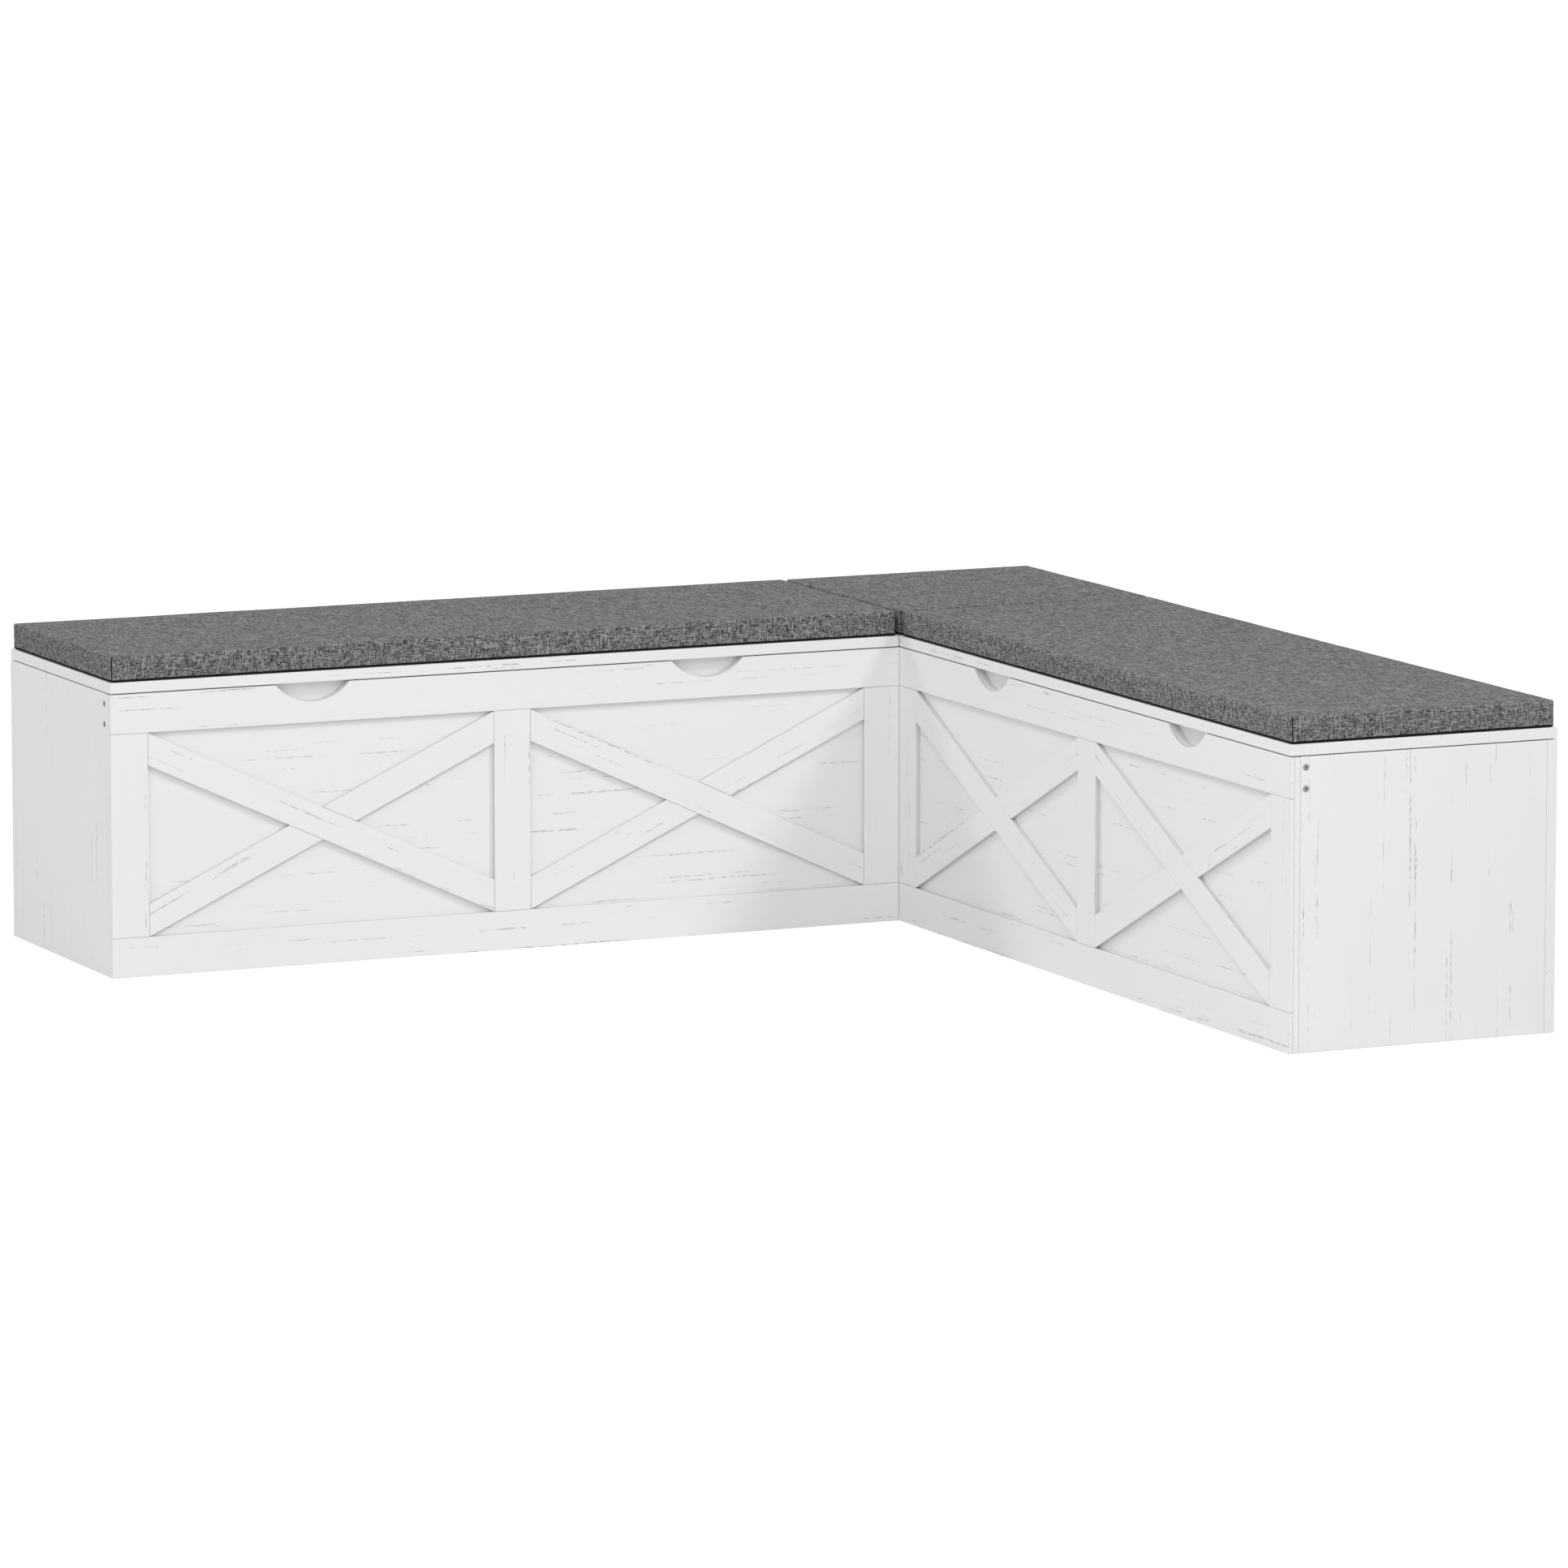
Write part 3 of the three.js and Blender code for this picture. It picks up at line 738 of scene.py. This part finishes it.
def add_bumpers(module, finish):
    """Soft stops under the front corners of a lid."""
    support = f"{module.name}_batten"
    row = BATTEN_MIDDLE
    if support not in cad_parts:
        support = f"{module.name}_front_panel"
        row = BOARD / 2
    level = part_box(support)[1].z
    places = [module.at(x, row, level) for x in (BUMPER_INSET, module.length - BUMPER_INSET)]
    dimple = [(math.tau * index / BUMPER_SIDES, BUMPER_DIMPLE) for index in range(BUMPER_SIDES)]
    size = (BUMPER_RADIUS, BUMPER_HEIGHT, dimple, BUMPER_DIMPLE_DEPTH)
    add_heads(f"{module.name}_lid_bumpers", "carcass", places, Z, *size, finish, None)


def white_stage():
    """A floor and a sky that the camera sees as white, with a light shadow under the bench."""
    world = bpy.data.worlds.new("sky")
    bpy.context.scene.world = world
    world.use_nodes = True
    nodes = world.node_tree.nodes
    links = world.node_tree.links
    sky = nodes["Background"]
    sky.inputs["Color"].default_value = (1, 1, 1, 1)
    path = nodes.new("ShaderNodeLightPath")
    seen = seen_directly(nodes, links, path)
    level = nodes.new("ShaderNodeMapRange")
    links.new(seen, level.inputs["Value"])
    level.inputs["To Min"].default_value = SKY_LEVEL
    level.inputs["To Max"].default_value = 1
    links.new(level.outputs[0], sky.inputs["Strength"])

    material = bpy.data.materials.new("white_floor")
    material.use_nodes = True
    nodes = material.node_tree.nodes
    links = material.node_tree.links
    nodes.clear()
    output = nodes.new("ShaderNodeOutputMaterial")
    path = nodes.new("ShaderNodeLightPath")
    bounce = nodes.new("ShaderNodeBsdfDiffuse")
    bounce.inputs["Color"].default_value = (FLOOR_BOUNCE, FLOOR_BOUNCE, FLOOR_BOUNCE, 1)
    shade = nodes.new("ShaderNodeBsdfDiffuse")
    shade.inputs["Color"].default_value = (FLOOR_SHADE, FLOOR_SHADE, FLOOR_SHADE, 1)
    glow = nodes.new("ShaderNodeEmission")
    glow.inputs["Strength"].default_value = FLOOR_GLOW
    both = nodes.new("ShaderNodeAddShader")
    choice = nodes.new("ShaderNodeMixShader")
    links.new(shade.outputs[0], both.inputs[0])
    links.new(glow.outputs[0], both.inputs[1])
    links.new(seen_directly(nodes, links, path), choice.inputs[0])
    links.new(bounce.outputs[0], choice.inputs[1])
    links.new(both.outputs[0], choice.inputs[2])
    links.new(choice.outputs[0], output.inputs["Surface"])

    signs = [(-1, -1), (1, -1), (1, 1), (-1, 1)]
    corners = [(FLOOR_REACH * x, FLOOR_REACH * y, 0) for x, y in signs]
    mesh = bpy.data.meshes.new("floor")
    mesh.from_pydata(corners, [], [[0, 1, 2, 3]])
    mesh.materials.append(material)
    floor = bpy.data.objects.new("floor", mesh)
    floor.location.z = -FLOOR_DROP
    bpy.context.scene.collection.objects.link(floor)


def seen_directly(nodes, links, path):
    """1 for camera, glossy and transmission rays, and 0 for the rays that light things."""
    total = path.outputs["Is Camera Ray"]
    for ray in ("Is Glossy Ray", "Is Transmission Ray"):
        node = nodes.new("ShaderNodeMath")
        node.operation = "MAXIMUM"
        links.new(total, node.inputs[0])
        links.new(path.outputs[ray], node.inputs[1])
        total = node.outputs[0]
    return total


def add_light(name, towards, level, angle):
    """A soft lamp far away in the given direction. At level 1 it shows a facing surface as written."""
    lamp = bpy.data.lights.new(name, "SUN")
    lamp.energy = level * math.pi
    lamp.angle = angle
    light = bpy.data.objects.new(name, lamp)
    light.rotation_euler = Vector(towards).to_track_quat("Z", "Y").to_euler()
    bpy.context.scene.collection.objects.link(light)


def add_near_light():
    """A soft lamp just over the open side of the corner."""
    lamp = bpy.data.lights.new("near_light", "POINT")
    lamp.energy = NEAR_LIGHT_WATTS
    lamp.shadow_soft_size = NEAR_LIGHT_RADIUS
    light = bpy.data.objects.new("near_light", lamp)
    light.location = NEAR_LIGHT_PLACE
    light.visible_camera = False
    bpy.context.scene.collection.objects.link(light)


def add_camera():
    """The photograph's camera."""
    camera = bpy.data.cameras.new("photo_camera")
    camera.lens = CAMERA_LENS
    camera.sensor_width = CAMERA_SENSOR
    camera.sensor_fit = "HORIZONTAL"
    holder = bpy.data.objects.new("photo_camera", camera)
    holder.location = CAMERA_PLACE
    holder.rotation_euler = (math.pi / 2 + CAMERA_PITCH, 0, -CAMERA_YAW)
    bpy.context.scene.collection.objects.link(holder)
    bpy.context.scene.camera = holder


def brace_direction(module, piece):
    """The way a brace slopes in its front."""
    low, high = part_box(f"{module.name}_outer_long_brace")
    size = high - low
    slope = (size.z - BRACE_CUT) / abs(size.dot(module.along))
    falls = "long" in piece
    return (module.along + Z * (-slope if falls else slope)).normalized()


def dress_boards(modules):
    """Gives each board its laminate, with the grain along the board."""
    made = {}

    def finish(key, grain, face, paints_edge_shade=False, open_side=None):
        if key not in made:
            made[key] = laminate(f"laminate_{key}", grain, face, paints_edge_shade, open_side)
        return made[key]

    for node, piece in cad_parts.items():
        module = modules[node.split("_")[0]]
        side = "x" if module.along == X else "y"
        front = -module.back
        open_side = -module.along if module.name == "left" else module.along
        if "brace" in node:
            slant = "down" if "long" in node else "up"
            material = finish(f"{slant}_{side}", brace_direction(module, node), front, True)
        elif "outer_stile" in node:
            material = finish(f"outer_upright_{side}", Z, front, True, open_side)
        elif "stile" in node:
            material = finish(f"upright_{side}", Z, front, True)
        elif "end_panel" in node or "divider" in node:
            material = finish(f"upright_end_{side}", Z, module.along)
        elif node in ("corner_left_panel", "corner_right_panel"):
            material = finish("upright_end_x", Z, X)
        elif "lid" in node and "leaf" not in node or "bottom_panel" in node:
            material = finish(f"flat_{side}", module.along, Z)
        elif "rail" in node or node in ("left_front_panel", "right_front_panel"):
            material = finish(f"rail_{side}", module.along, front, True, open_side)
        elif "panel" in node or "batten" in node and "screw" not in node:
            material = finish(f"front_{side}", module.along, front)
        else:
            continue
        piece.data.materials.clear()
        piece.data.materials.append(material)


def dress_metal(hinge, screw):
    """Gives the hinges and screws their steel."""
    for node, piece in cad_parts.items():
        if "hinge" in node or "screw" in node:
            piece.data.materials.clear()
            piece.data.materials.append(screw if "screw" in node else hinge)


add_camera()
modules = {
    "left": Module("left", "left_top_rail", X, Y),
    "right": Module("right", "right_top_rail", -Y, X),
    "corner": Module("corner", "corner_front_panel", X, Y),
}
hinge_steel = steel("hinge_steel", *HINGE_STEEL)
screw_steel = steel("screw_steel", *SCREW_STEEL)
dress_boards(modules)
dress_metal(hinge_steel, screw_steel)
grey_linen = linen()
# Painted shade cloths for the cushions' contact line and corner seams
contact_shade_cloth = painted_shade_cloth("painted_contact_shade", CONTACT_PAINTED_SHADE, CONTACT_SHADE_GRAIN)
seam_shade_cloth = painted_shade_cloth("painted_seam_shade", SEAM_PAINTED_SHADE, SEAM_SHADE_GRAIN)
bumper_rubber = Finish("bumper_rubber", Base_Color=BUMPER_GREY, Roughness=0.4).material
for module in modules.values():
    add_cushion(module, grey_linen, contact_shade_cloth, seam_shade_cloth)
    add_hinge_screws(module, screw_steel)
    add_cam_locks(module, hinge_steel)
    add_bumpers(module, bumper_rubber)
add_connector_bolts(modules, hinge_steel)

white_stage()
add_light("right_light", RIGHT_LIGHT_TOWARDS, RIGHT_LIGHT_LEVEL, KEY_ANGLE)
add_light("left_light", LEFT_LIGHT_TOWARDS, LEFT_LIGHT_LEVEL, KEY_ANGLE)
add_light("front_light", FRONT_LIGHT_TOWARDS, FRONT_LIGHT_LEVEL, FRONT_ANGLE)
add_near_light()
bpy.context.scene.view_settings.view_transform = "Standard"
